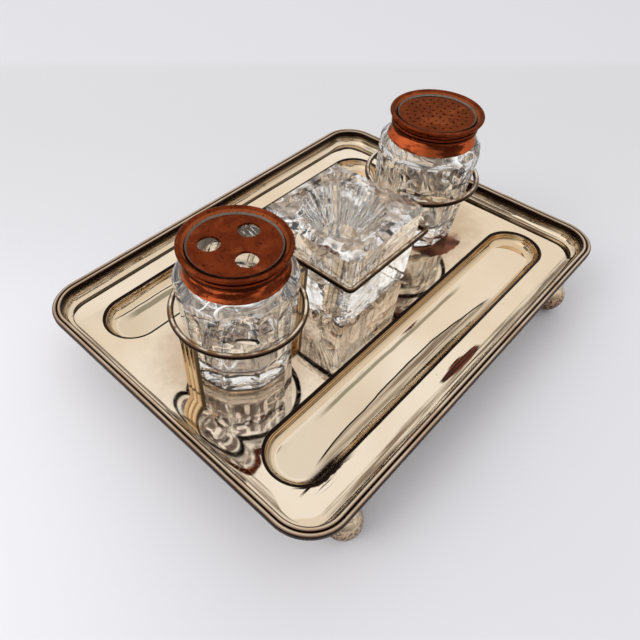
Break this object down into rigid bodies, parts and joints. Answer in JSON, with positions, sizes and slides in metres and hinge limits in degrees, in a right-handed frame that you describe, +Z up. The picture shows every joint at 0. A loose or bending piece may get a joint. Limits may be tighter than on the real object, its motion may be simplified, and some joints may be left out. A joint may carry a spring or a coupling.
{
  "type": "desk inkstand",
  "caption": "Plated desk inkstand: reeded tray with pen troughs on ball feet, wire gallery holding a square glass inkwell between two capped glass jars.",
  "frame": {"origin": "on the table, under the middle of the tray", "axes": "+Z up; the tray's long side lies along X, with the jar whose cap has three pen holes at -X and the pounce jar at +X; a pen trough lies along each long side, at -Y (the side the user faces) and +Y"},
  "size_m": [0.25, 0.19, 0.0952],
  "materials": {
    "tray_plate": "worn silver plate over copper, tarnished to a pale champagne",
    "border_plate": "silver plate worn through to copper on the tops of the reeds",
    "foot_plate": "silver plate, polished on top and pitted below",
    "wire_plate": "plated wire worn to a golden copper tone",
    "strap_plate": "plated reeded strip, worn golden on the ribs",
    "glass": "clear cut and polished glass",
    "plaster": null,
    "cap_copper": "copper with worn plate and a deep brown patina",
    "solder": "rough grey soft solder"
  },
  "bodies": {
    "stand": {"tray": "tray_plate", "border": "border_plate", "foot_front_left": "foot_plate", "foot_front_right": "foot_plate", "foot_rear_left": "foot_plate", "foot_rear_right": "foot_plate", "neck_front_left": "foot_plate", "neck_front_right": "foot_plate", "neck_rear_left": "foot_plate", "neck_rear_right": "foot_plate", "ring_left": "wire_plate", "ring_right": "wire_plate", "square_frame": "wire_plate", "outer_strap_left": "strap_plate", "outer_strap_right": "strap_plate", "inner_strap_left": "strap_plate", "inner_strap_right": "strap_plate"},
    "inkwell": {"inkwell": "glass"},
    "pen_jar": {"pen_jar": "glass", "pen_cement": "plaster", "pen_collar": "cap_copper"},
    "pen_cap": {"pen_cap_rim": "cap_copper", "pen_cap_plate": "cap_copper", "pen_cap_solder": "solder"},
    "pounce_jar": {"pounce_jar": "glass", "pounce_cement": "plaster", "pounce_collar": "cap_copper"},
    "pounce_cap": {"pounce_cap_rim": "cap_copper", "pounce_cap_plate": "cap_copper", "pounce_cap_solder": "solder"}
  },
  "joints": [
    {"name": "inkwell_lift", "type": "slide", "parent": "stand", "child": "inkwell", "axis": [0, 0, 1], "range_m": [0, 0.06]},
    {"name": "pen_jar_lift", "type": "slide", "parent": "stand", "child": "pen_jar", "axis": [0, 0, 1], "range_m": [0, 0.06]},
    {"name": "pounce_jar_lift", "type": "slide", "parent": "stand", "child": "pounce_jar", "axis": [0, 0, 1], "range_m": [0, 0.06]},
    {"name": "pen_cap_lift", "type": "slide", "parent": "pen_jar", "child": "pen_cap", "axis": [0, 0, 1], "range_m": [0, 0.03]},
    {"name": "pounce_cap_lift", "type": "slide", "parent": "pounce_jar", "child": "pounce_cap", "axis": [0, 0, 1], "range_m": [0, 0.03]}
  ]
}
